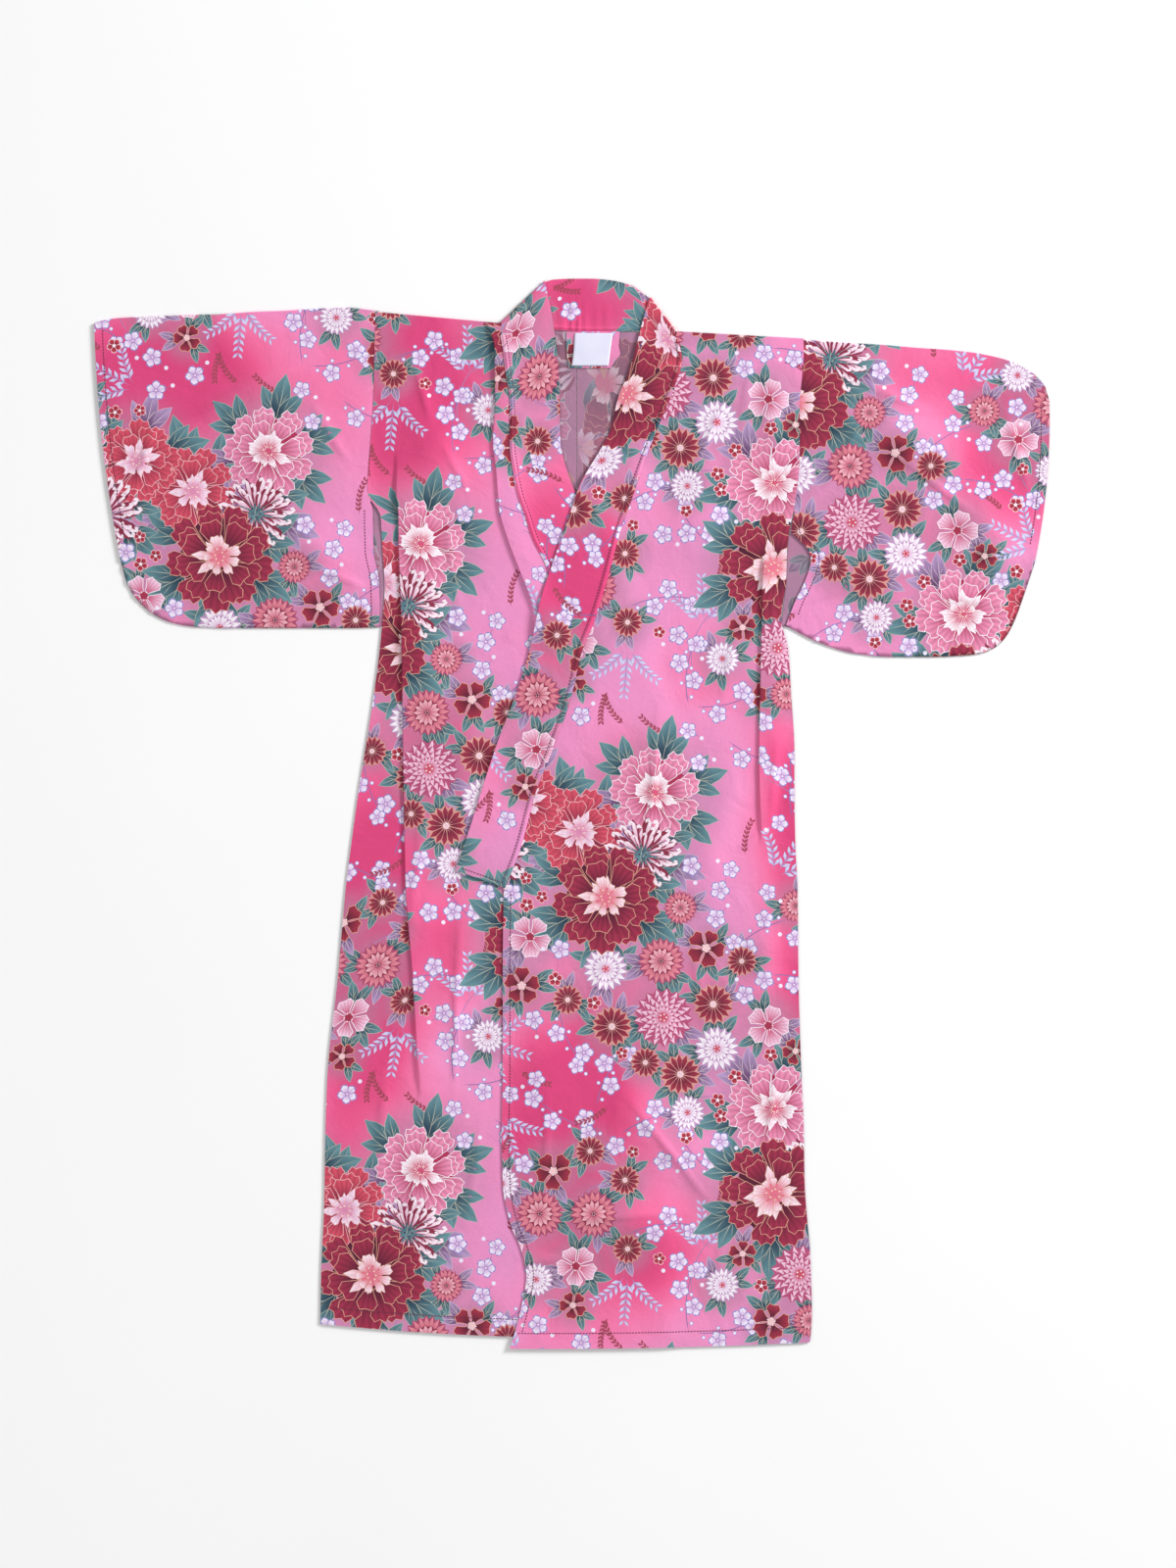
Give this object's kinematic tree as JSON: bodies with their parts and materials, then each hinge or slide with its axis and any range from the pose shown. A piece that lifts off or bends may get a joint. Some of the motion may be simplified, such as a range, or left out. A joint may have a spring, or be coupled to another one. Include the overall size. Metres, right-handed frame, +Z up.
{
  "type": "yukata",
  "caption": "Child's unlined cotton yukata laid out flat, wide sleeves with round corners, long folded collar, left front over right.",
  "frame": {"origin": "middle of the garment's outline, on the surface it lies on", "axes": "+Z up from that surface, +Y from the hem towards the neck, +X towards the wearer's left sleeve"},
  "size_m": [0.9302, 1.0422, 0.0079],
  "materials": {
    "printed_cotton": "plain woven cotton, printed, pink ground",
    "label_satin": "white woven satin"
  },
  "bodies": {
    "root": {"body_right": "printed_cotton", "body_left": "printed_cotton", "sleeve_right": "printed_cotton", "sleeve_left": "printed_cotton", "collar": "printed_cotton", "neck_patch": "printed_cotton", "label": "label_satin"}
  },
  "joints": []
}
